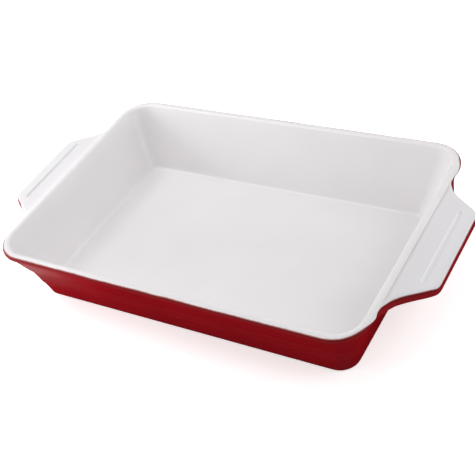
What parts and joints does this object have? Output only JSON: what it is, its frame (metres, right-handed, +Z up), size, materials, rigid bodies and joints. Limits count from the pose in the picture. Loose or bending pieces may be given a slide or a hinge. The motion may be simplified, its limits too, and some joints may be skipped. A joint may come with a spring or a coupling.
{
  "type": "lasagna dish",
  "caption": "Rectangular glazed stoneware oven dish with flared walls and a flat tab handle at each end, for baking and serving.",
  "frame": {"origin": "under the middle of the dish, on the plane that its foot ring stands on", "axes": "+Z up, X along the dish from handle to handle, Y across it"},
  "size_m": [0.425, 0.243, 0.0625],
  "materials": {
    "stoneware": "matte fired clay",
    "white_glaze": "glossy",
    "red_glaze": "glossy"
  },
  "bodies": {
    "root": {"stoneware_body": "stoneware", "inner_glaze": "white_glaze", "outer_glaze": "red_glaze", "underside_glaze": "red_glaze"}
  },
  "joints": []
}
